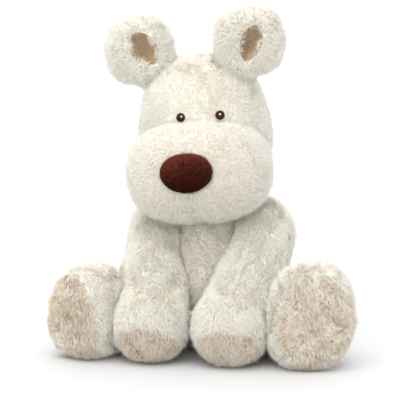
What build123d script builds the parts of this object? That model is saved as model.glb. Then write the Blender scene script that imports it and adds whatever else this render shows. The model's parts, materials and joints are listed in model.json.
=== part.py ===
"""Sitting plush dog, 300 mm tall: sewn covers over stuffing, with every limb free to move.

Frame: millimetres, +Z up, the dog looks along -Y, its own left side is +X.
The origin is on the floor, under the middle of the body.
"""
from math import cos, radians, sin
import os

from build123d import *

SIDES = {"left": 1, "right": -1}
slant = sin(radians(45))

# Fabric and clearances
skin = 2.2                 # plush fabric, backing and matted pile
seam_gap = 0.4             # space between two sewn pieces
running_gap = 0.6          # space between pieces that move past each other
sliver_share = 0.02        # scraps smaller than this share of their sub-part are dropped
socket_depth = 2.8         # room round a ball for its seam ring and two running gaps

# Body
body_y = 4.0               # the body's upright axis stands this far behind the origin
seat_radius = 36.0
belly_radius = 58.0
belly_height = 44.0
chest_radius = 45.0
chest_height = 84.0
collar_radius = 20.0
collar_height = 109.0
neck_ball_radius = 26.0
neck = Vector(0, body_y, 127)
neck_ring_half = 7.0
pouch_centre = (0, 6, 22)
pouch_radius = 14.0
pouch_half_length = 12.0
pouch_cloth = 1.0
stitch_count = 7
stitch_span = (62, 92)
stitch_width = 1.8
stitch_thickness = 1.0
stitch_length = 8.0
stitch_lift = 0.1          # the thread stands this far off the fabric

# Head, drawn about its own upright middle line and then tilted on the neck
head_origin = (0, -6, 138)
head_turn = -2.0
head_tilt = -4.5
head_place = Pos(*head_origin) * Rot(0, 0, head_turn) * Rot(0, head_tilt, 0)
head_top = 121.0
skull_half_depth = 44.0
skull_middle_half = 13.0   # half length of the straight middle between the rounded sides
cheek_z = 42.0
cheek_bulge = 2.0
chin_z = -2.0
chin_sag = 13.0
head_back = 10.0           # the skull's middle is this far behind the head's own origin
gusset_half_width = 21.0

# Muzzle, a fat sausage lying across the face
muzzle_half = 62.0
muzzle_radius = 42.5
muzzle_end_radius = 38.0
muzzle_y = -26.0
muzzle_z = 21.0
muzzle_back = -12.0        # the muzzle's flat back inside the head

# Nose
nose_half_width = 23.0
nose_radius = 16.5
nose_y = -67.5
nose_z = 24.0
nose_cloth = 1.6
mouth_start = 22.0         # angle below the muzzle's foremost line, degrees
mouth_arc = 20.0
mouth_thread = 0.7

# Eyes and their glints
eye_x = {"left": 23.0, "right": -11.0}    # the face is turned a little on the muzzle
eye_z = 69.0
eye_radius = 5.0           # ball whose cap is the raised patch of stitches
eye_front = {"left": -34.4, "right": -35.6}    # the head's surface at the eyes
eye_sunk = 3.2
glint_radius = 1.0
glint_shift = 1.2          # the glint sits up and to one side of the eye's middle
glint_sunk = 0.4

# Ears
ear_radius = 31.5
ear_half_depth = 16.0
ear_centre_x = {"left": 47.0, "right": -52.5}
ear_y = -2.0
ear_centre_z = 129.0
ear_root = 29.0            # distance from the ear's centre down to its fold line
ear_lean = 34.0            # how far the ear leans outward, degrees
ear_swing = 14.0
bowl_centre = (0, -19, -5)
bowl_radius = 17.0

# Arms, hanging in front of the belly with the paws side by side on the floor
shoulder_x = 46.5
shoulder_z = 101.0
shoulder_radius = 26.5
wrist_share = 0.5          # how far down the arm it begins to widen
paw_radius = 32.5
paw_x = 35.0
paw_y = -78.0
arm_swing = 16.0
pad_depth = 16.0           # the pad begins this far from the paw's centre
pad_slope = 53.0           # the pad faces this far below straight ahead, degrees

# Legs, splayed to either side with the soles facing forward
hip_x = 52.0
hip_y = 8.0
hip_z = 33.0
hip_radius = 27.5
foot_radius = {"left": 34.0, "right": 31.5}
foot_half_height = {"left": 41.5, "right": 39.5}
foot_centre = {"left": (104.5, -72.0), "right": (-98.5, -72.0)}
leg_splay = {"left": 33.5, "right": 30.0}
foot_turn = {"left": 21.0, "right": 29.0}
hip_swing = 24.0
leg_lift = 12.0
resting_gap = 1.2          # space where the arm lies along the leg
hip_ring = (8.0, 18.0)     # the hip's gathered ring lies this far behind the joint
sole_reach = 17.0          # the sole begins this far in front of the foot's centre

# Tail
tail_root = Vector(0, 58, 40)
tail_radius = 12.0
tail_tip_radius = 9.0
tail_length = 26.0
tail_rise = 38.0
tail_swing = 25.0


hip_point = {name: Vector(side * hip_x, hip_y, hip_z) for name, side in SIDES.items()}


# ---------------------------------------------------------------- shared forms

def capsule(start, end, start_radius, end_radius):
    """Two balls and the straight run of fabric between them."""
    length = (end - start).length
    with BuildPart(Plane(origin=start, z_dir=end - start)) as form:
        Sphere(start_radius)
        with Locations((0, 0, length / 2)):
            if abs(start_radius - end_radius) < 0.01:
                Cylinder(start_radius, length)
            else:
                Cone(start_radius, end_radius, length)
        with Locations((0, 0, length)):
            Sphere(end_radius)
    return form.part


def shell_of(outer, inner):
    """What is left of a form when a smaller one is taken out of it."""
    with BuildPart() as shell:
        add(outer)
        add(inner, mode=Mode.SUBTRACT)
    return shell.part


def ball(centre, radius, place=Location()):
    """A ball in a placed frame."""
    with BuildPart() as form:
        Sphere(radius)
    return place * Pos(*centre) * form.part


def head_direction(x, y, z):
    """A direction given in the head's own frame."""
    return Plane(head_place).from_local_coords((x, y, z)) - Vector(*head_origin)


def head_plane_at(x, y, z, facing):
    """A plane through a point of the head's own frame."""
    return Plane(
        origin=Plane(head_place).from_local_coords((x, y, z)),
        z_dir=head_direction(*facing),
    )


def body_form(inset):
    """Pear-shaped body with a flat seat, and a ball where the neck enters the head."""
    with BuildPart() as form:
        with BuildSketch(Plane.XZ.offset(-body_y)):
            with BuildLine():
                seat = Line((0, inset), (seat_radius - inset, inset))
                ThreePointArc(
                    seat @ 1,
                    (0.86 * belly_radius - inset, 0.27 * belly_height),
                    (belly_radius - inset, belly_height),
                )
                ThreePointArc(
                    (belly_radius - inset, belly_height),
                    (0.5 * (belly_radius + chest_radius) + 3 - inset,
                     0.52 * (belly_height + chest_height)),
                    (chest_radius - inset, chest_height),
                )
                collar = ThreePointArc(
                    (chest_radius - inset, chest_height),
                    (0.5 * (chest_radius + collar_radius) + 4 - inset,
                     0.5 * (chest_height + collar_height) + 4 - inset),
                    (collar_radius - inset, collar_height - inset),
                )
                Line(collar @ 1, (0, collar_height - inset))
                Line((0, collar_height - inset), (0, inset))
            make_face()
        revolve(axis=Axis((0, body_y, 0), (0, 0, 1)))
        with Locations(neck):
            Sphere(neck_ball_radius - inset)
    return form.part


def skull_edges(inset, side):
    """Half of the head's upright outline, bulging at the cheeks and round at the crown."""
    reach = side * (skull_half_depth - inset)
    crown = head_top - skull_half_depth
    rise = abs(reach) * slant
    ThreePointArc((0, head_top - inset), (reach * slant, crown + rise), (reach, crown))
    ThreePointArc((reach, crown), (reach + side * cheek_bulge, 0.5 * (crown + cheek_z)), (reach, cheek_z))
    ThreePointArc((reach, cheek_z), (reach * slant, chin_z + chin_sag + inset), (0, chin_z + inset))


def skull_form(inset):
    """Tall domed head: two half-turned ends joined by a straight middle, so it is wider than deep."""
    with BuildPart() as end:
        with BuildSketch(Plane.XZ):
            with BuildLine():
                skull_edges(inset, 1)
                Line((0, chin_z + inset), (0, head_top - inset))
            make_face()
        revolve(axis=Axis.Z, revolution_arc=180)
    with BuildPart() as form:
        with BuildSketch(Plane.YZ.offset(-skull_middle_half)):
            with BuildLine():
                skull_edges(inset, 1)
                skull_edges(inset, -1)
            make_face()
        extrude(amount=2 * skull_middle_half)
        for side in SIDES.values():
            add(Pos(side * skull_middle_half, 0, 0) * Rot(0, 0, -90 * side) * end.part)
    return head_place * Pos(0, head_back, 0) * form.part


def muzzle_form(inset):
    """Fat sausage across the face, flat where it meets the inside of the head."""
    half = muzzle_half - inset
    radius = muzzle_radius - inset
    cheek = muzzle_end_radius - inset
    end_x = half - cheek
    bow = (end_x ** 2 - (radius - cheek) ** 2) / (2 * (radius - cheek))
    join = Vector(end_x, 0) + Vector(end_x, bow).normalized() * cheek
    with BuildPart() as form:
        with BuildSketch(Plane.XY):
            with BuildLine():
                ThreePointArc((-half, 0), (-end_x - cheek * slant, cheek * slant), (-join.X, join.Y))
                ThreePointArc((-join.X, join.Y), (0, radius), (join.X, join.Y))
                ThreePointArc((join.X, join.Y), (end_x + cheek * slant, cheek * slant), (half, 0))
                Line((half, 0), (-half, 0))
            make_face()
        revolve(axis=Axis.X)
        split(bisect_by=Plane.XZ.offset(muzzle_y - muzzle_back + inset), keep=Keep.TOP)
    return head_place * Pos(0, muzzle_y, muzzle_z) * form.part


def arm_form(side, inset):
    """Arm with a round shoulder, a straight upper length and a larger round paw."""
    shoulder = Vector(side * shoulder_x, body_y, shoulder_z)
    paw = Vector(side * paw_x, paw_y, paw_radius)
    wrist = shoulder + (paw - shoulder) * wrist_share
    with BuildPart() as form:
        add(capsule(shoulder, wrist, shoulder_radius - inset, shoulder_radius - inset))
        add(capsule(wrist, paw, shoulder_radius - inset, paw_radius - inset))
    return form.part


def tail_form(inset):
    """Short stub pointing back and up."""
    rise = radians(tail_rise)
    tip = tail_root + Vector(0, cos(rise), sin(rise)) * tail_length
    return capsule(tail_root, tip, tail_radius - inset, tail_tip_radius - inset)


def foot_forward(name):
    """Direction the sole faces."""
    turn = radians(foot_turn[name])
    return Vector(SIDES[name] * sin(turn), -cos(turn), 0)


def leg_form(name, inset):
    """Leg widening from a round hip to a tall foot with a domed sole."""
    foot = Vector(*foot_centre[name], foot_half_height[name])
    spread = Vector(0, 0, foot_half_height[name] - foot_radius[name])
    radius = foot_radius[name] - inset
    with BuildPart() as form:
        add(capsule(foot - spread, foot + spread, radius, radius))
        add(capsule(hip_point[name], foot, hip_radius - inset, radius - 1))
    return form.part


def ear_place(name):
    """Frame of one ear, standing on the head's upper corner."""
    return head_place * Pos(ear_centre_x[name], ear_y, ear_centre_z)


def ear_hinge(name):
    """Line along the ear's root, about which it folds forward and back."""
    side = SIDES[name]
    lean = radians(ear_lean)
    root = Plane(head_place).from_local_coords((
        ear_centre_x[name] - side * ear_root * sin(lean),
        ear_y,
        ear_centre_z - ear_root * cos(lean),
    ))
    return Axis(root, head_direction(side * cos(lean), 0, -sin(lean)))


def swept_copies(form, axis, angles):
    """Copies of a form turned about an axis, the room it needs as it moves."""
    return [form.rotate(axis, angle) for angle in angles]


def remove(forms):
    """Cut every form in a list from the sub-part being built."""
    for form in forms:
        add(form, mode=Mode.SUBTRACT)


# ------------------------------------------------ rooms that the moving pieces need

arm_axis = {
    name: Axis((side * shoulder_x, body_y, shoulder_z), (-1, 0, 0))
    for name, side in SIDES.items()
}
arm_room = {
    name: swept_copies(
        arm_form(side, -running_gap),
        arm_axis[name],
        [0, arm_swing / 4, arm_swing / 2, arm_swing * 3 / 4, arm_swing],
    )
    for name, side in SIDES.items()
}
lift_axis = {
    name: Axis(
        hip_point[name],
        (-cos(radians(leg_splay[name])), -side * sin(radians(leg_splay[name])), 0),
    )
    for name, side in SIDES.items()
}
muzzle_room = muzzle_form(-seam_gap)


def cut_for_arm(name):
    """Room in the leg for the arm that lies along it, as each of them moves."""
    quarters = (0.25, 0.5, 0.75, 1)
    moves = [(0, 0, 0), (arm_swing, hip_swing, leg_lift)]
    moves += [(part * arm_swing, 0, 0) for part in quarters]
    moves += [(0, part * hip_swing, 0) for part in quarters]
    moves += [(0, 0, part * leg_lift) for part in (0.5, 1)]
    upright = Axis(hip_point[name], (0, 0, SIDES[name]))
    arm = arm_form(SIDES[name], -resting_gap)
    return [
        arm.rotate(arm_axis[name], raised).rotate(upright, -splayed).rotate(lift_axis[name], -lifted)
        for raised, splayed, lifted in moves
    ]


def leg_solid(name, inset):
    """The leg's form, pressed in where the arm rests on it."""
    with BuildPart() as solid:
        add(leg_form(name, inset))
        remove(cut_for_arm(name))
    return solid.part


def leg_room(name):
    """Places the leg passes through as it splays and lifts, as plain cones."""
    foot = Vector(*foot_centre[name], foot_half_height[name])
    reach = (foot - hip_point[name]).length
    with BuildPart(Plane(origin=hip_point[name], z_dir=foot - hip_point[name])) as room:
        Cone(hip_radius + running_gap, foot_half_height[name], reach,
             align=(Align.CENTER, Align.CENTER, Align.MIN))
    rooms = []
    for swing in (0, SIDES[name] * hip_swing / 2, SIDES[name] * hip_swing):
        for lift in (0, leg_lift):
            lifted = room.part.rotate(lift_axis[name], lift)
            rooms.append(lifted.rotate(Axis(hip_point[name], (0, 0, 1)), swing))
    return rooms


def body_with_sockets(form):
    """A body form with hollows where the arms, legs and tail are sewn on."""
    with BuildPart() as solid:
        add(form)
        with Locations(*hip_point.values()):
            Sphere(hip_radius + socket_depth, mode=Mode.SUBTRACT)
        for name in SIDES:
            remove(arm_room[name])
            remove(leg_room(name))
        remove(swept_copies(
            tail_form(-running_gap),
            Axis(tail_root, (0, 0, 1)),
            [-tail_swing, 0, tail_swing],
        ))
    return solid.part


def head_with_openings(form):
    """A head form with the neck socket and the muzzle's opening."""
    with BuildPart() as solid:
        add(form)
        add(muzzle_room, mode=Mode.SUBTRACT)
        with Locations(neck):
            Sphere(neck_ball_radius + socket_depth, mode=Mode.SUBTRACT)
    return solid.part


def save(piece, name):
    """Label a finished sub-part, drop any sliver the cuts left, and write it to its own file."""
    solids = piece.solids().sort_by(SortBy.VOLUME)
    piece = Compound([solid for solid in solids if solid.volume > sliver_share * solids[-1].volume])
    piece.label = name
    export_step(piece, f"parts/{name}.step")


# ---------------------------------------------------------------- body sub-parts

def body_front_panel(shell):
    with BuildPart() as body_front:
        add(shell)
        split(bisect_by=Plane.XZ.offset(seam_gap / 2 - body_y), keep=Keep.TOP)
    save(body_front.part, "body_front")


def body_back_panel(shell, name):
    side = SIDES[name]
    with BuildPart() as body_back:
        add(shell)
        split(bisect_by=Plane.XZ.offset(-seam_gap / 2 - body_y), keep=Keep.BOTTOM)
        keep = Keep.TOP if side > 0 else Keep.BOTTOM
        split(bisect_by=Plane.YZ.offset(side * seam_gap / 2), keep=keep)
    save(body_back.part, f"body_back_{name}")


def pouch_egg(inset):
    """Sausage-shaped bag of pellets lying in the seat."""
    centre = Vector(*pouch_centre)
    half = Vector(0, pouch_half_length, 0)
    return capsule(centre - half, centre + half, pouch_radius - inset, pouch_radius - inset)


def body_stuffing(filling):
    with BuildPart() as stuffing:
        add(filling)
        add(pouch_egg(-seam_gap), mode=Mode.SUBTRACT)
    save(stuffing.part, "body_stuffing")


def pellet_pouch():
    with BuildPart() as pouch:
        add(pouch_egg(0))
        add(pouch_egg(pouch_cloth), mode=Mode.SUBTRACT)
    save(pouch.part, "pellet_pouch")


def pellets():
    with BuildPart() as pellet_mass:
        add(pouch_egg(pouch_cloth + seam_gap))
    save(pellet_mass.part, "pellets")


def stitch_bars():
    """Row of bars across the back seam, long enough to pass through the body's surface."""
    low, high = stitch_span
    with BuildPart() as bars:
        for index in range(stitch_count):
            height = low + (high - low) * index / (stitch_count - 1)
            with Locations((0, body_y + belly_radius / 2, height)):
                Box(stitch_length, belly_radius, stitch_width,
                    align=(Align.CENTER, Align.MIN, Align.CENTER))
    return bars.part


def closing_stitches():
    """Ladder of hand stitches over the seam where the body was filled and closed."""
    with BuildPart() as stitches:
        add(shell_of(body_form(-stitch_thickness), body_form(-stitch_lift)))
        add(stitch_bars(), mode=Mode.INTERSECT)
    save(stitches.part, "closing_stitches")


def neck_seam():
    """Ring of gathered fabric round the neck, turning inside the head's socket."""
    with BuildPart() as ring:
        with Locations(neck):
            Sphere(neck_ball_radius + socket_depth - running_gap)
            Sphere(neck_ball_radius + running_gap, mode=Mode.SUBTRACT)
        split(bisect_by=Plane.XY.offset(neck.Z - neck_ring_half), keep=Keep.TOP)
        split(bisect_by=Plane.XY.offset(neck.Z + neck_ring_half), keep=Keep.BOTTOM)
    save(ring.part, "neck_seam")


# ---------------------------------------------------------------- head sub-parts

def head_side_panel(shell, name):
    side = SIDES[name]
    with BuildPart() as panel:
        add(shell)
        edge = side * (gusset_half_width + seam_gap / 2)
        split(bisect_by=head_plane_at(edge, 0, 0, (side, 0, 0)), keep=Keep.TOP)
    save(panel.part, f"head_{name}")


def head_gusset(shell):
    """Long strip from the muzzle over the crown and down the back of the head."""
    with BuildPart() as gusset:
        add(shell)
        for side in SIDES.values():
            edge = side * (gusset_half_width - seam_gap / 2)
            split(bisect_by=head_plane_at(edge, 0, 0, (side, 0, 0)), keep=Keep.BOTTOM)
    save(gusset.part, "head_gusset")


def head_stuffing():
    with BuildPart() as stuffing:
        add(head_with_openings(skull_form(skin + seam_gap)))
    save(stuffing.part, "head_stuffing")


def muzzle_cover():
    with BuildPart() as cover:
        add(muzzle_form(0))
        add(muzzle_form(skin), mode=Mode.SUBTRACT)
        with Locations(neck):
            Sphere(neck_ball_radius + socket_depth, mode=Mode.SUBTRACT)
    save(cover.part, "muzzle_cover")


def muzzle_stuffing():
    with BuildPart() as stuffing:
        add(muzzle_form(skin + seam_gap))
        with Locations(neck):
            Sphere(neck_ball_radius + socket_depth, mode=Mode.SUBTRACT)
    save(stuffing.part, "muzzle_stuffing")


def nose_egg(inset):
    """Oval dome standing on the front of the muzzle."""
    half = nose_half_width - nose_radius
    ends = [Plane(head_place).from_local_coords((x, nose_y, nose_z)) for x in (-half, half)]
    return capsule(*ends, nose_radius - inset, nose_radius - inset)


def nose_cover():
    with BuildPart() as cover:
        add(nose_egg(0))
        add(nose_egg(nose_cloth), mode=Mode.SUBTRACT)
        add(muzzle_room, mode=Mode.SUBTRACT)
    save(cover.part, "nose_cover")


def nose_stuffing():
    with BuildPart() as stuffing:
        add(nose_egg(nose_cloth + seam_gap))
        add(muzzle_room, mode=Mode.SUBTRACT)
    save(stuffing.part, "nose_stuffing")


def eye_ball(name, grow):
    """Ball whose cap stands out of the head as a raised patch of stitches."""
    centre = (eye_x[name], eye_front[name] + eye_sunk, eye_z)
    return ball(centre, eye_radius + grow, head_place)


def eye_stitches(name):
    with BuildPart() as eye:
        add(eye_ball(name, 0))
        add(skull_form(-0.1), mode=Mode.SUBTRACT)
        add(muzzle_room, mode=Mode.SUBTRACT)
    save(eye.part, f"eye_{name}")


def eye_glints():
    """One small pale stitch on each eye."""
    with BuildPart() as glints:
        for name in SIDES:
            depth = eye_front[name] + eye_sunk - eye_radius + glint_sunk
            centre = (eye_x[name] + glint_shift, depth, eye_z + glint_shift)
            add(ball(centre, glint_radius, head_place))
        for name in SIDES:
            add(eye_ball(name, 0.1), mode=Mode.SUBTRACT)
    save(glints.part, "eye_glints")


def mouth_stitch():
    """Short line of thread down from the nose, following the muzzle's curve."""
    start = radians(mouth_start)
    radial = Vector(0, -cos(start), -sin(start))
    plane = Plane(origin=(0, 0, 0), x_dir=(1, 0, 0), z_dir=Vector(1, 0, 0).cross(radial))
    with BuildPart() as thread:
        with BuildSketch(plane):
            with Locations((0, muzzle_radius + mouth_thread + 0.2)):
                Circle(mouth_thread)
        revolve(axis=Axis.X, revolution_arc=mouth_arc)
    placed = head_place * Pos(0, muzzle_y, muzzle_z) * thread.part
    save(placed, "mouth_stitch")


# ----------------------------------------------------------------- ear sub-parts

def head_room_for_ear(name):
    """The crown's place as seen from the ear, through the ear's whole swing."""
    corner = (SIDES[name] * skull_middle_half, head_back, head_top - skull_half_depth)
    crown = ball(corner, skull_half_depth + running_gap, head_place)
    return swept_copies(crown, ear_hinge(name), [-ear_swing, 0, ear_swing])


def ear_disc():
    """Thick round ear with soft edges, standing upright and facing forward."""
    edge = ear_half_depth * 0.62
    with BuildPart() as form:
        with BuildSketch(Plane.XY):
            with BuildLine():
                for side in SIDES.values():
                    ThreePointArc(
                        (0, side * ear_half_depth),
                        (0.45 * ear_radius, side * 0.93 * ear_half_depth),
                        (ear_radius - edge, side * edge),
                    )
                ThreePointArc(
                    (ear_radius - edge, -edge),
                    (ear_radius, 0),
                    (ear_radius - edge, edge),
                )
                Line((0, ear_half_depth), (0, -ear_half_depth))
            make_face()
        revolve(axis=Axis.Y)
    return form.part


def ear_cover_form():
    """The ear with a hollow in its front, where the lining shows."""
    with BuildPart() as form:
        add(ear_disc())
        with Locations(bowl_centre):
            Sphere(bowl_radius + seam_gap, mode=Mode.SUBTRACT)
    return form.part


def ear_lining_form():
    """Thin bowl of lining, flush with the ear's front."""
    with BuildPart() as form:
        with Locations(bowl_centre):
            Sphere(bowl_radius)
            Sphere(bowl_radius - skin, mode=Mode.SUBTRACT)
        add(ear_disc(), mode=Mode.INTERSECT)
    return form.part


def ear_cover(name, head_room):
    with BuildPart() as cover:
        add(ear_place(name) * ear_cover_form())
        remove(head_room)
    save(cover.part, f"ear_{name}_cover")


def ear_lining(name, head_room):
    with BuildPart() as lining:
        add(ear_place(name) * ear_lining_form())
        remove(head_room)
    save(lining.part, f"ear_{name}_lining")


# ----------------------------------------------------------------- arm sub-parts

def pad_plane(side, shift):
    """Plane that parts the paw's pad from the arm's cover, facing forward and down."""
    slope = radians(pad_slope)
    facing = Vector(0, -cos(slope), -sin(slope))
    centre = Vector(side * paw_x, paw_y, paw_radius) + facing * (pad_depth + shift)
    return Plane(origin=centre, z_dir=facing)


def arm_cover(name):
    side = SIDES[name]
    with BuildPart() as cover:
        add(arm_form(side, 0))
        add(arm_form(side, skin), mode=Mode.SUBTRACT)
        split(bisect_by=pad_plane(side, -seam_gap / 2), keep=Keep.BOTTOM)
    save(cover.part, f"arm_{name}_cover")


def arm_pad(name):
    side = SIDES[name]
    with BuildPart() as pad:
        add(arm_form(side, 0))
        add(arm_form(side, skin), mode=Mode.SUBTRACT)
        split(bisect_by=pad_plane(side, seam_gap / 2), keep=Keep.TOP)
    save(pad.part, f"arm_{name}_pad")


def arm_stuffing(name):
    with BuildPart() as stuffing:
        add(arm_form(SIDES[name], skin + seam_gap))
    save(stuffing.part, f"arm_{name}_stuffing")


# ----------------------------------------------------------------- leg sub-parts

def hip_seam(name):
    """Ring of gathered fabric at the hip, turning inside the body's socket."""
    side = SIDES[name]
    splay = radians(leg_splay[name])
    outward = Vector(side * sin(splay), -cos(splay), 0)
    with BuildPart(Plane(origin=hip_point[name], z_dir=outward)) as ring:
        Sphere(hip_radius + socket_depth - running_gap)
        Sphere(hip_radius + running_gap, mode=Mode.SUBTRACT)
        front, back = [
            Plane(origin=hip_point[name] - outward * distance, z_dir=outward)
            for distance in hip_ring
        ]
        split(bisect_by=front, keep=Keep.BOTTOM)
        split(bisect_by=back, keep=Keep.TOP)
    save(ring.part, f"hip_{name}_seam")


def sole_plane(name, shift):
    """Plane that parts the sole from the leg's cover."""
    forward = foot_forward(name)
    centre = Vector(*foot_centre[name], foot_half_height[name]) + forward * (sole_reach + shift)
    return Plane(origin=centre, z_dir=forward)


def leg_shell(name):
    with BuildPart() as shell:
        add(leg_solid(name, 0))
        add(leg_form(name, skin), mode=Mode.SUBTRACT)
    return shell.part


def leg_cover(name, shell):
    with BuildPart() as cover:
        add(shell)
        split(bisect_by=sole_plane(name, -seam_gap / 2), keep=Keep.BOTTOM)
    save(cover.part, f"leg_{name}_cover")


def leg_sole(name, shell):
    with BuildPart() as sole:
        add(shell)
        split(bisect_by=sole_plane(name, seam_gap / 2), keep=Keep.TOP)
    save(sole.part, f"leg_{name}_sole")


def leg_stuffing(name):
    with BuildPart() as stuffing:
        add(leg_solid(name, skin + seam_gap))
    save(stuffing.part, f"leg_{name}_stuffing")


# ---------------------------------------------------------------- tail sub-parts

def tail_cover():
    with BuildPart() as cover:
        add(tail_form(0))
        add(tail_form(skin), mode=Mode.SUBTRACT)
    save(cover.part, "tail_cover")


def tail_stuffing():
    with BuildPart() as stuffing:
        add(tail_form(skin + seam_gap))
    save(stuffing.part, "tail_stuffing")


# ------------------------------------------------------------------ build it all

os.makedirs("parts", exist_ok=True)

body_shell = body_with_sockets(shell_of(body_form(0), body_form(skin)))
body_front_panel(body_shell)
for body_side in SIDES:
    body_back_panel(body_shell, body_side)
body_stuffing(body_with_sockets(body_form(skin + seam_gap)))
pellet_pouch()
pellets()
closing_stitches()
neck_seam()

head_shell = head_with_openings(shell_of(skull_form(0), skull_form(skin)))
for head_side in SIDES:
    head_side_panel(head_shell, head_side)
head_gusset(head_shell)
head_stuffing()
muzzle_cover()
muzzle_stuffing()
nose_cover()
nose_stuffing()
for eye_side in SIDES:
    eye_stitches(eye_side)
eye_glints()
mouth_stitch()

for ear_side in SIDES:
    ear_head_room = head_room_for_ear(ear_side)
    ear_cover(ear_side, ear_head_room)
    ear_lining(ear_side, ear_head_room)

for arm_side in SIDES:
    arm_cover(arm_side)
    arm_pad(arm_side)
    arm_stuffing(arm_side)

for leg_side in SIDES:
    hip_seam(leg_side)
    one_leg_shell = leg_shell(leg_side)
    leg_cover(leg_side, one_leg_shell)
    leg_sole(leg_side, one_leg_shell)
    leg_stuffing(leg_side)

tail_cover()
tail_stuffing()
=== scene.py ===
"""Looks of a seated plush dog: soft blended skins under modelled pile, around a fixed frame.

Each skin is the zero surface of a distance field. Lengths are in millimetres until new_object
turns them into metres.
"""
import json
import math
import bpy
import numpy as np
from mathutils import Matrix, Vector


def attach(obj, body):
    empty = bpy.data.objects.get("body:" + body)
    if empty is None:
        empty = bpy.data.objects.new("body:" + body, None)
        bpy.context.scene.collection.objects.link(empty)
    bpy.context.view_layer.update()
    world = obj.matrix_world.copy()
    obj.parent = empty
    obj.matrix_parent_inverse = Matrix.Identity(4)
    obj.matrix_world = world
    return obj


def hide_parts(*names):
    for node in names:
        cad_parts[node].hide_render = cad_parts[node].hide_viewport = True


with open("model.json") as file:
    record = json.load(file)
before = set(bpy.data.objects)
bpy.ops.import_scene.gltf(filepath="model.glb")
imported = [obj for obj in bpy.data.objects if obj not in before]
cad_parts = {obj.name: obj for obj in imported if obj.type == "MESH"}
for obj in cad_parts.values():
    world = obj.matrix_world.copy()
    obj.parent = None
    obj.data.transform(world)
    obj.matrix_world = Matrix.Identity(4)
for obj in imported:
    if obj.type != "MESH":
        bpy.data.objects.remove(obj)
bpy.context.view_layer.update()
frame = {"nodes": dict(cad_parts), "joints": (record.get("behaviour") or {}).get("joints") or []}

MM = 0.001
SIDES = {"left": 1, "right": -1}


# ------------------------------------------------------------------ small vector helpers

def unit(v):
    v = np.asarray(v, float)
    return v / np.maximum(np.linalg.norm(v, axis=-1, keepdims=True), 1e-9)


def turn_z(degrees):
    c, s = math.cos(math.radians(degrees)), math.sin(math.radians(degrees))
    return np.array([[c, -s, 0], [s, c, 0], [0, 0, 1.0]])


def turn_y(degrees):
    c, s = math.cos(math.radians(degrees)), math.sin(math.radians(degrees))
    return np.array([[c, 0, s], [0, 1.0, 0], [-s, 0, c]])


# ------------------------------------------------------------------ places, in millimetres

PIVOT = {j["name"]: np.round(np.array(j["pos_m"]) / MM, 1) for j in frame["joints"]}
NECK = PIVOT["head_nod"]
SHOULDER = {n: PIVOT[f"arm_{n}_raise"] for n in SIDES}
HIP = {n: PIVOT[f"leg_{n}_lift"] for n in SIDES}
TAIL_ROOT = PIVOT["tail_wag"]
TAIL_RISE = math.radians(38)
TAIL_WAY = np.array([0, math.cos(TAIL_RISE), math.sin(TAIL_RISE)])

HEAD_ORIGIN = np.array([0, -6, 138.0])
HEAD_AXES = turn_z(-2.0) @ turn_y(-4.5)          # columns are the head's own x, y, z
EYE = {"left": np.array([23.0, -34.4, 69]), "right": np.array([-11.0, -35.6, 69])}
NOSE = np.array([0.0, -69.5, 24.0])              # eyes, nose and ears are in the head's own axes
EAR = {"left": np.array([46.5, -2, 131]), "right": np.array([-52.5, -2, 129.5])}

PAW = {n: np.array([s * 35.0, -78, 32.5]) for n, s in SIDES.items()}
PAD_DIP = math.radians(53)
PAD_FACING = np.array([0, -math.cos(PAD_DIP), -math.sin(PAD_DIP)])
FOOT = {"left": np.array([101.5, -72, 43.5]), "right": np.array([-91.5, -72, 40.0])}
FOOT_SIZE = {"left": (32.0, 29.5, 42.5), "right": (29.5, 28.5, 39.0)}
FOOT_LEAN = {"left": 0.10, "right": -0.07}       # how far the foot leans outward as it rises
FOOT_TAPER = {"left": 0.0, "right": 0.22}        # how much narrower its top is
FOOT_TURN = {"left": 21.0, "right": -29.0}


def to_head(p):
    return (p - HEAD_ORIGIN) @ HEAD_AXES


def from_head(q):
    return HEAD_ORIGIN + np.asarray(q, float) @ HEAD_AXES.T


def to_ear(p, name):
    return to_head(p) - EAR[name]


def to_foot(p, name):
    return (p - FOOT[name]) @ turn_z(FOOT_TURN[name])


# ------------------------------------------------------------------ distance fields

def egg(p, centre, radii, power=2.0):
    """Distance to a rounded egg; a power above 2 squares it up a little."""
    r = np.asarray(radii, float)
    q = np.abs(p - np.asarray(centre, float)) / r
    k = np.maximum((q ** power).sum(-1), 1e-9) ** (1 / power)
    g = (q / k[:, None]) ** (power - 1) / r
    return (k - 1) / np.maximum(np.linalg.norm(g, axis=-1), 1e-9)


def limb(p, a, b, ra, rb):
    """Distance to a round-ended limb whose radius runs from ra to rb."""
    ab = b - a
    t = np.clip(((p - a) @ ab) / (ab @ ab), 0, 1)
    return np.linalg.norm(p - (a + t[:, None] * ab), axis=-1) - (ra + (rb - ra) * t)


def join(a, b, k):
    """Smooth union: k is how wide the blend is."""
    h = np.clip(0.5 + 0.5 * (b - a) / k, 0, 1)
    return b * (1 - h) + a * h - k * h * (1 - h)


def carve(a, b, k):
    """a with b taken out, with an edge rounded over k."""
    return -join(-a, b, k)


def on_floor(d, p, height, k):
    """Flatten a form where it rests on the floor."""
    return -join(-d, p[:, 2] - height, k)


def bump(p, centre, radius):
    return np.exp(-((p - np.asarray(centre, float)) ** 2).sum(-1) / (2 * radius ** 2))


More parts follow.
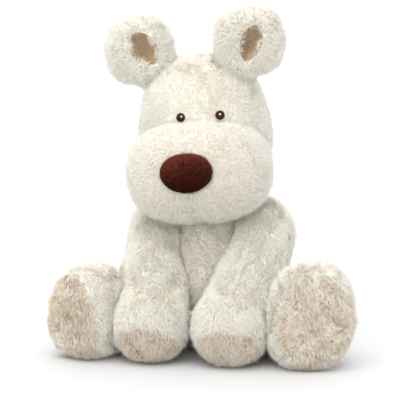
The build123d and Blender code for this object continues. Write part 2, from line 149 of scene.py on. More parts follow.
CROWN = dict(centre=(-2.7, 10, 66), radii=(50.3, 42.5, 53), power=2.25)
CHEEKS = dict(centre=(-2.4, 10, 44), radii=(53.5, 42, 45), power=2.2)
MUZZLE = dict(centre=(-1.2, -25, 22.3), radii=(59.5, 43.5, 40.8), power=2.5)
CHIN_CREASE, CHIN_WIDTH = 2.2, 5.0               # depth and width of the crease down the chin
SMILE_CREASE, SMILE_WIDTH, SMILE_CURVE = 1.5, 15, 0.01
SMILE_LINE, SMILE_FADE = -7, 1.8                 # height of the mouth's fold, and its softness
EYE_DENT, EYE_DENT_WIDTH = 1.6, 5.0
EYE_OPENING, EYE_LID = (3.7, 3.1), 0.8           # clear of pile round each eye, and a little above
PARTING = (1.4, 2.5)                             # half the size of the parting under the nose
MUZZLE_SPLIT = 14.0                              # where the muzzle's stuffing meets the skull's
NECK_ROOM = 30.0                                 # the skull's stuffing leaves this round the neck


def skull_field(q):
    return join(egg(q, **CROWN), egg(q, **CHEEKS), 14)


def muzzle_field(q):
    x, y, z = q.T
    in_front = y < -20
    chin = np.exp(-(x / CHIN_WIDTH) ** 2) * np.clip((6 - z) / 14, 0, 1) * in_front
    above_smile = z - SMILE_LINE - SMILE_CURVE * x ** 2
    smile = np.exp(-(above_smile / SMILE_FADE) ** 2 - (x / SMILE_WIDTH) ** 4)
    return egg(q, **MUZZLE) + CHIN_CREASE * chin + SMILE_CREASE * smile * in_front


def head_field(p):
    q = to_head(p)
    d = join(skull_field(q), muzzle_field(q), 4.0)
    for n in SIDES:
        d = d + EYE_DENT * bump(q, EYE[n], EYE_DENT_WIDTH)
    return d


EAR_DISC = {"left": (0, 0, 0.5), "right": (-1.0, 0, 0.5)}
EAR_ROOT_LEAN = 34.0
SCOOP_LEAN = {"left": 24.0, "right": -36.0}
SCOOP_AT = {"left": (4.0, -13.0, -2.5), "right": (6.2, -13.0, 0.5)}
SCOOP_SIZE = {"left": (9.0, 11, 15.5), "right": (11.2, 11, 16.0)}


def scoop_field(e, name, grow=0.0):
    """The open hollow of an ear, which narrows to a slit at its foot; grow widens it."""
    local = (e - np.array(SCOOP_AT[name])) @ turn_y(SCOOP_LEAN[name])
    size = np.array(SCOOP_SIZE[name]) + grow
    d = egg(local, (0, 0, 0), size)
    slit = limb(local, np.array([0, 0, -12.0]), np.array([0, 2.0, -26]), 3.2 + grow, 1.6 + grow)
    return join(d, slit, 4)


def ear_field(p, name):
    e = to_ear(p, name)
    disc = egg(e, EAR_DISC[name], (27, 12, 27), 2.45)
    root = egg(e @ turn_y(EAR_ROOT_LEAN * SIDES[name]), (0, 1, -22), (15, 9, 12))
    d = join(disc, root, 8)
    return carve(d, scoop_field(e, name), 3.5)


ARM_TOP, ARM_MIDDLE, ARM_PAW = 24.0, 24.8, 29.5  # the arm's radius at its top, middle and paw
ELBOW_OUT = {"left": 2.6, "right": -0.8}
ARM_CREASE, ARM_CREASE_WIDTH = 2.4, 2.2          # a shallow lengthwise crease down the front
ARM_CREASE_HEIGHT, ARM_CREASE_REACH = 78, 20
LIMB_REST, LIMB_REST_BLEND = 1.5, 8              # how high and how softly a limb's floor face lies
LIMB_GAP = 0.8                                   # left between two forms that press together


def arm_field(p, name):
    a, b = SHOULDER[name], PAW[name]
    elbow = a + 0.55 * (b - a) + np.array([ELBOW_OUT[name], 0, 0])
    d = join(limb(p, a, elbow, ARM_TOP, ARM_MIDDLE), limb(p, elbow, b, ARM_MIDDLE, ARM_PAW), 10)
    d = join(d, egg(p, a + np.array([-3.5 * SIDES[name], 3.0, 7]), (21, 20, 24)), 8)
    middle_line = a[0] + (a[2] - p[:, 2]) / (a[2] - b[2]) * (b[0] - a[0])
    aside = p[:, 0] - middle_line + 3 * SIDES[name]
    along = np.exp(-((p[:, 2] - ARM_CREASE_HEIGHT) / ARM_CREASE_REACH) ** 2)
    crease = np.exp(-(aside / ARM_CREASE_WIDTH) ** 2) * along * (p[:, 1] < a[1])
    return on_floor(d + ARM_CREASE * crease, p, LIMB_REST, LIMB_REST_BLEND)


SOLE_FLAT = 26                                   # the sole is flattened this far ahead of the middle


def leg_field(p, name):
    f = to_foot(p, name)
    wide, deep, tall = FOOT_SIZE[name]
    thigh = limb(p, HIP[name], FOOT[name] - np.array([0, 0, 5.0]), 25.0, wide - 3)
    rise = np.clip((f[:, 2] - 5) / 35, 0, 1)
    toe = f.copy()
    toe[:, 0] *= 1 + FOOT_TAPER[name] * rise
    toe[:, 0] -= FOOT_LEAN[name] * SIDES[name] * f[:, 2]
    foot = egg(toe, (0, 2, 0), (wide, deep + 2, tall), 2.4)
    d = join(thigh, foot, 12)
    d = -join(-d, f[:, 1] + SOLE_FLAT, 10)
    d = carve(d, arm_field(p, name) - LIMB_GAP, 3)
    return on_floor(d, p, LIMB_REST, LIMB_REST_BLEND)


def plain_body(p):
    """The pear of the body before the limbs press into it."""
    belly = egg(p, (0, 5, 46), (55.5, 52.5, 47))
    chest = egg(p, (0, 6, 80), (43, 39, 31))
    collar = limb(p, np.array([0, 4, 80.0]), np.array([0, 4, 122.0]), 24, 22)
    return join(join(belly, chest, 20), collar, 14)


def body_field(p):
    d = plain_body(p)
    for n in SIDES:
        d = carve(d, arm_field(p, n) - LIMB_GAP, 3)
        d = carve(d, leg_field(p, n) - LIMB_GAP, 3)
    return on_floor(d, p, 0.8, 6)


def tail_field(p):
    return limb(p, TAIL_ROOT, TAIL_ROOT + TAIL_WAY * 26, 10.5, 7.5)


NOSE_TAPER = 0.10                                # the nose narrows below its middle
NOSE_CREASE, NOSE_CREASE_WIDTH = 0.8, 1.2        # the fine crease down its lower half


def nose_field(p):
    q = to_head(p)
    d = egg(q, NOSE, (21.5, 13.5, 15.5), 2.2)
    taper = np.clip((NOSE[2] - q[:, 2]) / 16, 0, 1)
    d = d + taper * np.abs(q[:, 0]) * NOSE_TAPER
    middle = np.exp(-(q[:, 0] / NOSE_CREASE_WIDTH) ** 2)
    return d + NOSE_CREASE * middle * np.clip((NOSE[2] + 4 - q[:, 2]) / 12, 0, 1)


SEAM_RADIUS = 1.1


def seam_field(first, second):
    """A cord that follows the line where two skins meet."""
    return lambda p: np.hypot(first(p), second(p)) - SEAM_RADIUS


def of_side(field, name):
    """The field of one side's ear, arm or leg, as a function of the place alone."""
    return lambda p: field(p, name)


# ------------------------------------------------------------------ meshing a field

SNAP_ROUNDS, SNAP_SHARE = 3, 0.9
SLOPE_STEP = 0.35


def surface(field, low, high, cell):
    """Closed quad mesh of the zero surface of a field, by surface nets, then snapped to it.

    Each grid edge that the surface crosses makes a quad between the four cells round it, and each
    cell's point is the mean of the crossings on its edges.
    """
    low = np.asarray(low, float)
    counts = np.ceil((np.asarray(high, float) - low) / cell).astype(int) + 1
    axes = [low[i] + cell * np.arange(counts[i]) for i in range(3)]
    points = np.stack(np.meshgrid(*axes, indexing="ij"), -1).reshape(-1, 3)
    value = field(points).reshape(counts)
    inside = value < 0
    cells = tuple(counts - 1)
    total = np.zeros((int(np.prod(cells)), 3))
    number = np.zeros(int(np.prod(cells)))
    quads = []
    for axis in range(3):
        step = np.eye(3, dtype=int)[axis]
        b, c = np.eye(3, dtype=int)[(axis + 1) % 3], np.eye(3, dtype=int)[(axis + 2) % 3]
        first = [slice(None)] * 3
        second = [slice(None)] * 3
        first[axis], second[axis] = slice(0, -1), slice(1, None)
        first, second = tuple(first), tuple(second)
        edges = np.argwhere(inside[first] != inside[second])
        v0 = value[tuple(edges.T)]
        v1 = value[tuple((edges + step).T)]
        at = edges + (v0 / (v0 - v1))[:, None] * step
        corners = [edges - b - c, edges - c, edges, edges - b]
        flat = [np.ravel_multi_index(tuple(k.T), cells, mode="clip") for k in corners]
        for k in flat:
            np.add.at(total, k, at)
            np.add.at(number, k, 1)
        ring = np.stack(flat, 1)
        leaving = inside[tuple(edges.T)]
        ring[~leaving] = ring[~leaving][:, ::-1]
        quads.append(ring)
    used = np.flatnonzero(number)
    renumber = np.full(len(number), -1)
    renumber[used] = np.arange(len(used))
    verts = low + cell * total[used] / number[used][:, None]
    for _ in range(SNAP_ROUNDS):
        verts = verts - (field(verts) * SNAP_SHARE)[:, None] * slope(field, verts)
    return verts, renumber[np.concatenate(quads)]


def slope(field, p):
    """Unit direction in which a field grows, which is the surface normal."""
    g = np.zeros_like(p)
    for i in range(3):
        e = np.zeros(3)
        e[i] = SLOPE_STEP
        g[:, i] = field(p + e) - field(p - e)
    return unit(g)


def new_object(name, verts, faces):
    """A smooth mesh object from millimetre points and faces of equal numbers of corners."""
    mesh = bpy.data.meshes.new(name)
    faces = np.asarray(faces, np.int32)
    mesh.vertices.add(len(verts))
    mesh.vertices.foreach_set("co", (np.asarray(verts) * MM).astype(np.float32).ravel())
    mesh.loops.add(faces.size)
    mesh.loops.foreach_set("vertex_index", faces.ravel())
    mesh.polygons.add(len(faces))
    mesh.polygons.foreach_set("loop_start", np.arange(0, faces.size, faces.shape[1], dtype=np.int32))
    mesh.update(calc_edges=True)
    mesh.polygons.foreach_set("use_smooth", np.full(len(faces), True))
    obj = bpy.data.objects.new(name, mesh)
    bpy.context.scene.collection.objects.link(obj)
    return obj


# ------------------------------------------------------------------ materials

def nodes_of(name):
    m = bpy.data.materials.new(name)
    m.use_nodes = True
    tree = m.node_tree
    return m, tree, tree.nodes["Principled BSDF"]


def set_cloth(shader, roughness, sheen):
    shader.inputs["Roughness"].default_value = roughness
    shader.inputs["Sheen Weight"].default_value = sheen
    shader.inputs["Sheen Roughness"].default_value = 0.6
    shader.inputs["Sheen Tint"].default_value = (1, 1, 1, 1)
    shader.inputs["Specular IOR Level"].default_value = 0.1


def ramp_node(tree, stops):
    ramp = tree.nodes.new("ShaderNodeValToRGB")
    while len(ramp.color_ramp.elements) < len(stops):
        ramp.color_ramp.elements.new(0.5)
    for element, (place, colour) in zip(ramp.color_ramp.elements, stops):
        element.position = place
        element.color = (*colour, 1)
    return ramp


def pile_material(name, tints, painted_root_shade, sheen=0.25):
    """Pile colour from the strand's own coordinates: across is its tint, along is root to tip, with
    painted shade towards the root.
    """
    m, tree, shader = nodes_of(name)
    uv = tree.nodes.new("ShaderNodeUVMap")
    uv.uv_map = "OFBake"
    split = tree.nodes.new("ShaderNodeSeparateXYZ")
    tint = ramp_node(tree, [(i / (len(tints) - 1), c) for i, c in enumerate(tints)])
    # Painted shade: each strand darkens towards its root, as if shaded deep in the pile.
    along = ramp_node(tree, [(0.0, painted_root_shade), (0.55, (0.985, 0.98, 0.97)), (1.0, (1, 1, 1))])
    mix = tree.nodes.new("ShaderNodeMix")
    mix.data_type = "RGBA"
    mix.blend_type = "MULTIPLY"
    mix.inputs["Factor"].default_value = 1.0
    tree.links.new(uv.outputs["UV"], split.inputs[0])
    tree.links.new(split.outputs["X"], tint.inputs[0])
    tree.links.new(split.outputs["Y"], along.inputs[0])
    tree.links.new(tint.outputs[0], mix.inputs[6])
    tree.links.new(along.outputs[0], mix.inputs[7])
    tree.links.new(mix.outputs[2], shader.inputs["Base Color"])
    set_cloth(shader, 0.85, sheen)
    return m


def cloth_material(name, low, high, scale, bump_depth=0.0, roughness=0.9, sheen=0.2):
    """Fine woven or matted cloth: two-tone noise, with a bump at thread size where it is seen."""
    m, tree, shader = nodes_of(name)
    place = tree.nodes.new("ShaderNodeTexCoord")
    noise = tree.nodes.new("ShaderNodeTexNoise")
    noise.inputs["Scale"].default_value = scale
    noise.inputs["Detail"].default_value = 4
    tone = ramp_node(tree, [(0.35, low), (0.65, high)])
    tree.links.new(place.outputs["Object"], noise.inputs["Vector"])
    tree.links.new(noise.outputs["Fac"], tone.inputs[0])
    tree.links.new(tone.outputs[0], shader.inputs["Base Color"])
    if bump_depth:
        lift = tree.nodes.new("ShaderNodeBump")
        lift.inputs["Strength"].default_value = 0.5
        lift.inputs["Distance"].default_value = bump_depth
        tree.links.new(noise.outputs["Fac"], lift.inputs["Height"])
        tree.links.new(lift.outputs["Normal"], shader.inputs["Normal"])
    set_cloth(shader, roughness, sheen)
    return m


# Each list runs from the tint of the darkest tufts, and of folds where shade is painted, to that of the
# palest.
CREAM_TINTS = [(0.80, 0.70, 0.54), (0.935, 0.912, 0.85),
               (0.965, 0.945, 0.875), (0.987, 0.973, 0.912)]
BEIGE_TINTS = [(0.64, 0.51, 0.35), (0.87, 0.78, 0.655), (0.98, 0.95, 0.88)]
LINING_TINTS = [(0.50, 0.36, 0.21), (0.64, 0.50, 0.33), (0.76, 0.63, 0.46)]
NOSE_TINTS = [(0.03, 0.004, 0.002), (0.075, 0.012, 0.006), (0.20, 0.055, 0.028)]

cream_pile = pile_material("cream_pile", CREAM_TINTS, (0.975, 0.945, 0.88))
beige_pile = pile_material("beige_pile", BEIGE_TINTS, (0.86, 0.79, 0.69))
lining_pile = pile_material("lining_pile", LINING_TINTS, (0.8, 0.72, 0.62))
nose_pile = pile_material("nose_pile", NOSE_TINTS, (0.6, 0.5, 0.5), sheen=0.0)
cream_skin = cloth_material("cream_skin", (0.88, 0.86, 0.79), (0.94, 0.92, 0.86), 700)
lining_skin = cloth_material("lining_skin", (0.26, 0.17, 0.09), (0.40, 0.29, 0.17), 900)
nose_skin = cloth_material("nose_skin", (0.02, 0.003, 0.0015), (0.05, 0.008, 0.004), 900, sheen=0.0)
fibre = cloth_material("stuffing_fibre", (0.75, 0.75, 0.74), (0.93, 0.93, 0.92), 260)
thread_dark = cloth_material("dark_thread", (0.014, 0.005, 0.003), (0.055, 0.02, 0.011), 1400,
                             0.0004, roughness=0.5, sheen=0.0)
thread_white = cloth_material("white_thread", (0.34, 0.31, 0.28), (0.55, 0.52, 0.48), 1500,
                              0.0003, roughness=0.5)
thread_cream = cloth_material("cream_thread", (0.7, 0.66, 0.56), (0.82, 0.78, 0.7), 1400, 0.0004,
                              roughness=0.6)
backing = cloth_material("seam_cloth", (0.6, 0.56, 0.48), (0.74, 0.7, 0.62), 1100)
pouch = cloth_material("pouch_cloth", (0.62, 0.6, 0.56), (0.76, 0.74, 0.7), 1000)
beads = cloth_material("pellets", (0.62, 0.62, 0.6), (0.85, 0.85, 0.83), 420, roughness=0.4, sheen=0.0)


# ------------------------------------------------------------------ pile strands

# A spike is three root corners and a tip; a lock has three more corners halfway, so that it bends.
SPIKE_FACES = np.array([(0, 2, 1), (0, 1, 3), (1, 2, 3), (2, 0, 3)])
SPIKE_ALONG = np.array([0, 0, 0, 1.0])
LOCK_FACES = np.array([
    (0, 2, 1), (0, 1, 4), (0, 4, 3), (1, 2, 5), (1, 5, 4), (2, 0, 3), (2, 3, 5),
    (3, 4, 6), (4, 5, 6), (5, 3, 6),
])
LOCK_ALONG = np.array([0, 0, 0, 0.5, 0.5, 0.5, 1.0])
FACES_PER_PIECE = 185000
PER_TUFT = 6                                     # strands in a tuft
TUFT_LENGTHS = (0.8, 1.15)                       # each range is a share of the length asked for
STRAND_LENGTHS = (0.65, 1.15)
STRAND_WIDTHS = (0.7, 1.25)
MIDDLE_WIDTH = 0.8                               # a lock's width halfway, as a share of its root's
ROOT_DEPTH = 0.6
FLOOR_GAP = 0.3                                  # strands that reach the floor bend along it
GUARD_SHARE, GUARD_STRETCH = 0.07, 1.35          # the few hairs that stand out past the rest
NAP, NAP_GROWTH = 1.2, 0.9                       # pile length at a contact, and its growth from there
HIDDEN_GAP, HIDDEN_SHARE = 2.5, 3                # closer than this, one tuft in three is kept
FOLD_START, FOLD_FADE = 2, 6.0                   # the painted shade of a fold is full this near, and fades over this
# Nine sine waves in random directions make the drift of the pile.
WAVES = np.random.default_rng(5).normal(size=(9, 3))
WAVE_WAYS = np.random.default_rng(6).normal(size=(9, 3))
WAVE_START = np.random.default_rng(7).uniform(0, 6.28, 9)
WAVE_PITCH = np.array([1, 1.3, 0.8, 1.7, 0.6, 2.1, 1.1, 2.6, 1.5]) * 4


def drift(p, size):
    """Smooth vector noise, about one swirl per size millimetres, so neighbouring tufts lean alike."""
    phase = p @ (unit(WAVES) * (WAVE_PITCH / size)[:, None]).T
    return np.sin(phase + WAVE_START) @ WAVE_WAYS / 2.6


def scatter(verts, faces, count, rng):
    """Random points spread evenly over a quad mesh, so that no bare patch is left."""
    tris = faces[:, [0, 1, 2, 0, 2, 3]].reshape(-1, 3)
    a, b, c = verts[tris[:, 0]], verts[tris[:, 1]], verts[tris[:, 2]]
    area = np.cumsum(np.linalg.norm(np.cross(b - a, c - a), axis=1))
    place = (np.arange(count) + rng.random(count)) / count * area[-1]
    pick = np.minimum(np.searchsorted(area, place), len(tris) - 1)
    u, v = rng.random(count), rng.random(count)
    flip = u + v > 1
    u[flip], v[flip] = 1 - u[flip], 1 - v[flip]
    return a[pick] + u[:, None] * (b - a)[pick] + v[:, None] * (c - a)[pick]


def mesh_area(verts, faces):
    a, b, c, d = (verts[faces[:, i]] for i in range(4))
    return 0.5 * np.linalg.norm(np.cross(c - a, d - b), axis=1).sum()


def short_near(distance, longest):
    """Pile length that shrinks to a nap where another part lies close."""
    return np.clip(NAP + NAP_GROWTH * distance, NAP, longest)


def thin_near(distance):
    """Which tufts to keep: only some of those that another part lies close to and hides."""
    return (distance > HIDDEN_GAP) | (np.arange(len(distance)) % HIDDEN_SHARE == 0)


def fold(distance):
    """How deep in a fold between two parts a place is, from 0 to 1; it sets how much shade is painted
    there.
    """
    return np.exp(-np.clip(distance - FOLD_START, 0, None) / FOLD_FADE)


def per_point(value, p):
    """A setting that is either one number or a function of the place."""
    return value(p) if callable(value) else np.full(len(p), float(value))


def strand_object(label, points, pattern, along, shade):
    """One mesh of strands. Its UVs hold each strand's shade across and its root to tip along."""
    count = len(points)
    faces = (pattern[None] + len(along) * np.arange(count)[:, None, None]).reshape(-1, 3)
    obj = new_object(label, points.reshape(-1, 3), faces)
    uv = np.empty((count, len(pattern), 3, 2), np.float32)
    uv[..., 0] = shade[:, None, None]
    uv[..., 1] = 0.02 + 0.96 * along[pattern][None]
    uv[:, :, 1, 0] += 0.012                      # no face is left without area on the UV map
    obj.data.uv_layers.new(name="OFBake").data.foreach_set("uv", uv.ravel())
    return obj


def lay_tufts(skin, field, flow, keep, density, swirl, swirl_pull, rng):
    """Centres of tufts, with the skin's normal and the way that the pile lies at each."""
    verts, faces = skin
    count = int(mesh_area(verts, faces) * density / PER_TUFT)
    centres = scatter(verts, faces, count, rng)
    centres = centres[keep(centres)]
    normals = slope(field, centres)
    way = flow(centres) + swirl_pull * drift(centres, swirl)
    return centres, normals, unit(way - (way * normals).sum(1, keepdims=True) * normals)


def strand_points(root, middle, tip, start, width, curved, rng):
    """Corners of each strand: three round its root, three halfway if it is curved, and its tip."""
    count = len(root)
    side = unit(np.cross(start, rng.normal(size=(count, 3))))
    other = np.cross(start, side)
    thick = width * rng.uniform(*STRAND_WIDTHS, count)
    points = np.empty((count, 7 if curved else 4, 3))
    for corner in range(3):
        turn = math.tau * corner / 3
        offset = (math.cos(turn) * side + math.sin(turn) * other) * thick[:, None]
        points[:, corner] = root + offset
        if curved:
            points[:, corner + 3] = middle + offset * MIDDLE_WIDTH
    points[:, -1] = tip
    points[..., 2] = np.maximum(points[..., 2], FLOOR_GAP)
    return points


def pile(name, skin, field, flow, body, material, seed, keep, density=5.0, length=6.0, width=0.2,
         lift=0.8, curl=0.5, mess=0.17, swirl=16.0, swirl_pull=0.5, tuft=1.8, tuft_pull=0.3,
         tint=0.5, tint_spread=0.3, slot="cream_plush", curved=False):
    """Closed tapering strands in tufts over a skin, where keep allows them.

    density is strands to a square millimetre; lift is how steeply they start and curl how far they
    bend over along the flow; mess scatters them; swirl is how far apart the flow turns and
    swirl_pull how much; tuft is how wide a tuft's roots spread and tuft_pull how far its tips draw
    together. length and tint are numbers or functions of the place. curved makes locks, not spikes.
    """
    rng = np.random.default_rng(seed)
    centres, normals, way = lay_tufts(skin, field, flow, keep, density, swirl, swirl_pull, rng)
    reach = per_point(length, centres)
    tuft_length = reach * rng.uniform(*TUFT_LENGTHS, len(centres))
    tuft_tint = per_point(tint, centres) + rng.normal(0, tint_spread * 0.5, len(centres))
    owner = np.repeat(np.arange(len(centres)), PER_TUFT)
    n = len(owner)
    normal, heading = normals[owner], way[owner]
    across = np.cross(normal, heading)
    spread = rng.normal(0, tuft * 0.6, (n, 2))
    root = centres[owner] + spread[:, :1] * heading + 0.7 * spread[:, 1:] * across
    root = root - field(root)[:, None] * normal
    full = tuft_length[owner] * rng.uniform(*STRAND_LENGTHS, n)
    full = full * np.where(rng.random(n) < GUARD_SHARE, GUARD_STRETCH, 1.0)
    start = unit(lift * normal + (1 - lift) * heading + rng.normal(0, mess, (n, 3)))
    end = unit(start + curl * heading - 0.1 * normal)
    middle = root + start * (0.5 * full)[:, None]
    tip = middle + end * (0.5 * full)[:, None]
    tuft_axis = centres + normals * (reach * lift * 0.8)[:, None] + way * (reach * 0.4)[:, None]
    tip = tip + (tuft_axis[owner] - tip) * (tuft_pull * rng.uniform(0.3, 1.0, (n, 1)))
    points = strand_points(root - normal * ROOT_DEPTH, middle, tip, start, width, curved, rng)
    pattern, along = (LOCK_FACES, LOCK_ALONG) if curved else (SPIKE_FACES, SPIKE_ALONG)
    shade = np.clip(tuft_tint[owner] + rng.normal(0, tint_spread * 0.5, n), 0.02, 0.98)
    parts = max(1, math.ceil(n * len(pattern) / FACES_PER_PIECE))
    for index, chosen in enumerate(np.array_split(np.arange(n), parts)):
        label = name if parts == 1 else f"{name}_{index + 1}"
        obj = strand_object(label, points[chosen], pattern, along, shade[chosen])
        obj.data.materials.append(material)
        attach(obj, body)


def skin_piece(name, skin, body, material, slot, *nodes):
    """A closed skin that rides on a body and stands for the frame's nodes."""
    obj = new_object(name, *skin)
    obj.data.materials.append(material)
    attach(obj, body)
    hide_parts(*nodes)


CELL = 2.0                     # mesh cell of the large skins
SMALL_CELL, FINE_CELL, FILL_CELL = 2.0, 1.2, 4.0
FILL_DEPTH = 3.2                                 # how far inside its skin the stuffing starts
BURIED = -3                                      # pile deeper than this in another part is left off
BASE_BARE, LIMB_BARE = 3, 2.5                    # there is no pile below these heights
LOCKS = dict(lift=0.55, curl=0.65, mess=0.17, tuft=1.8, tuft_pull=0.32, width=0.19, density=2.4,
             swirl_pull=0.5, curved=True)        # longer pile that lies down in soft locks


def filling(node, field, low, high, body):
    """Stuffing a little inside a skin, in place of the frame's own stuffing."""
    inside = surface(lambda p: field(p) + FILL_DEPTH, low, high, FILL_CELL)
    skin_piece(node, inside, body, fibre, "stuffing", node)


# ------------------------------------------------------------------ body

def downward(p):
    return np.tile([0, 0, -1.0], (len(p), 1))


POUCH_START, POUCH_END = np.array([0, -6.0, 22]), np.array([0, 18.0, 22])
POUCH_RADIUS = 14.8                              # the pouch of pellets, with a little room round it


def under_head(p):
    q = to_head(p)
    return (skull_field(q) < BURIED) | (muzzle_field(q) < BURIED)


def build_body():
    low, high = (-62, -58, -4), (62, 66, 150)
    skin = surface(body_field, low, high, CELL)
    skin_piece("body_cover", skin, "torso", cream_skin, "cream_plush",
               "body_front", "body_back_left", "body_back_right")

    def room_for_pouch(p):
        room = limb(p, POUCH_START, POUCH_END, POUCH_RADIUS, POUCH_RADIUS) + FILL_DEPTH
        return np.maximum(body_field(p), -room)

    filling("body_stuffing", room_for_pouch, low, high, "torso")

    def to_limbs(p):
        limbs = [arm_field(p, n) for n in SIDES] + [leg_field(p, n) for n in SIDES]
        return np.min(limbs, axis=0)

    def keep(p):
        return (p[:, 2] > BASE_BARE) & ~under_head(p) & thin_near(to_limbs(p))

    def reach(p):
        return short_near(to_limbs(p), 9.0)

    # Painted shade: the body's pile is darker than the limbs' all over, and darker still in the folds
    # beside the arms and under the head.
    def shade(p):
        arms = np.minimum(arm_field(p, "left"), arm_field(p, "right"))
        return 0.62 - 0.5 * fold(arms) - 0.2 * fold(head_field(p))

    pile("body_pile", skin, body_field, downward, "torso", cream_pile, 11, length=reach,
         keep=keep, tint=shade, **LOCKS)


# ------------------------------------------------------------------ head

def head_flow(p):
    """The pile falls down the skull, and spreads from the nose over the muzzle."""
    q = to_head(p)
    down = np.stack([q[:, 0] * 0.012, np.full(len(q), 0.2), np.full(len(q), -0.6)], 1)
    on_muzzle = np.clip((-18 - q[:, 1]) / 20, 0, 1)[:, None]
    outward = unit(q - NOSE) + np.array([0, 0, -0.35])
    return (down * (1 - on_muzzle) + outward * on_muzzle) @ HEAD_AXES.T


def head_keep(p):
    """Leaves the nose, the eyes, the mouth's parting and the roots of the ears clear of pile."""
    q = to_head(p)
    clear = egg(q, NOSE, (21, 14, 15)) > 0
    for n in SIDES:
        away = q - EYE[n]
        wide, tall = EYE_OPENING
        beside_eye = (away[:, 0] / wide) ** 2 + ((away[:, 2] - EYE_LID) / tall) ** 2 > 1
        clear &= beside_eye | (q[:, 1] > 0)
        clear &= ear_field(p, n) > -2
    parting = (np.abs(q[:, 0]) < PARTING[0]) & (np.abs(q[:, 2] + 5) < PARTING[1]) & (q[:, 1] < -50)
    return clear & ~parting & (body_field(p) > BURIED)


def head_length(p):
    """Short on the muzzle and round the eyes, longer at the sides and back of the head."""
    q = to_head(p)
    front = np.clip((-8 - q[:, 1]) / 20, 0, 1)
    jowls = np.clip((16 - q[:, 2]) / 24, 0, 1)
    length = 6.8 - 1.4 * front + 2.2 * jowls
    for n in SIDES:
        length = length - 3.0 * bump(q, EYE[n] + np.array([0, 0, 1]), 6.0)
    return length


# Painted shade: the muzzle's pile is darker, to temper the strong light on it, and the pile in the
# folds round the ears' roots is darker too.
def head_tint_with_painted_shade(p):
    q = to_head(p)
    on_muzzle = np.clip((-24 - q[:, 1]) / 16, 0, 1) * np.clip((72 - q[:, 2]) / 12, 0, 1)
    to_ears = np.minimum(ear_field(p, "left"), ear_field(p, "right"))
    return 0.78 - 0.38 * on_muzzle - 0.25 * fold(to_ears)


def build_head():
    low, high = (-74, -86, 106), (72, 58, 268)
    skin = surface(head_field, low, high, CELL)
    skin_piece("head_cover", skin, "head", cream_skin, "cream_plush",
               "head_left", "head_right", "head_gusset", "muzzle_cover")

    def muzzle_half(p):
        q = to_head(p)
        return np.maximum(muzzle_field(q), q[:, 1] + MUZZLE_SPLIT)

    def skull_half(p):
        q = to_head(p)
        neck_room = NECK_ROOM - np.linalg.norm(p - NECK, axis=-1)
        inner = np.maximum(head_field(p), neck_room - FILL_DEPTH)
        return np.maximum(inner, -q[:, 1] - MUZZLE_SPLIT)

    filling("muzzle_stuffing", muzzle_half, low, high, "head")
    filling("head_stuffing", skull_half, low, high, "head")
    pile("head_pile", skin, head_field, head_flow, "head", cream_pile, 21, density=2.8,
         length=head_length, width=0.155, keep=head_keep, tint=head_tint_with_painted_shade, swirl_pull=0.4,
         tint_spread=0.16, lift=0.68, mess=0.16, tuft_pull=0.18, curved=True)


# ------------------------------------------------------------------ ears

EAR_REACH, LINING_REACH = 42, 32                 # half the box that an ear or its lining is meshed in
LINING_OUT, LINING_IN = 1.2, -0.6                # the lining lies from inside to outside the hollow


def build_ear(name):
    centre = from_head(EAR[name])
    field = of_side(ear_field, name)
    skin = surface(field, centre - EAR_REACH, centre + EAR_REACH, SMALL_CELL)
    skin_piece(f"ear_{name}_cover", skin, f"ear_{name}", cream_skin, "cream_plush",
               f"ear_{name}_cover")

    def flow(p):
        return to_ear(p, name) * np.array([1, 0, 1]) @ HEAD_AXES.T / 30 + np.array([0, 0, -0.15])

    def keep(p):
        e = to_ear(p, name)
        return (scoop_field(e, name) > 0.8) & (head_field(p) > BURIED)

    pile(f"ear_{name}_pile", skin, field, flow, f"ear_{name}", cream_pile, 31 + SIDES[name],
         length=8.0, lift=0.7, mess=0.24, swirl_pull=0.7, tuft_pull=0.4, keep=keep, tint=0.73,
         curved=True, density=3.2)

    def lining_field(p):
        e = to_ear(p, name)
        d = np.maximum(scoop_field(e, name, LINING_OUT), -scoop_field(e, name, LINING_IN))
        return np.maximum(d, egg(e, (0, 0, 0.5), (26, 11, 26), 2.4))

    lining = surface(lining_field, centre - LINING_REACH, centre + LINING_REACH, FINE_CELL)
    skin_piece(f"ear_{name}_lining", lining, f"ear_{name}", lining_skin, "ear_lining",
               f"ear_{name}_lining")

    def lining_flow(p):
        return np.tile([0, -0.4, -1.0], (len(p), 1))

    def lining_keep(p):
        return scoop_field(to_ear(p, name), name) < 0.4

    pile(f"ear_{name}_lining_pile", lining, lining_field, lining_flow, f"ear_{name}",
         lining_pile, 41 + SIDES[name], density=9, length=2.2, width=0.2, lift=0.8,
         tuft=1.0, keep=lining_keep, slot="ear_lining")


# ------------------------------------------------------------------ arms

PAD_EDGE = 15.0                                  # the pad starts this far below the paw's middle


def on_pad(p, name):
    return (p - PAW[name]) @ PAD_FACING > PAD_EDGE


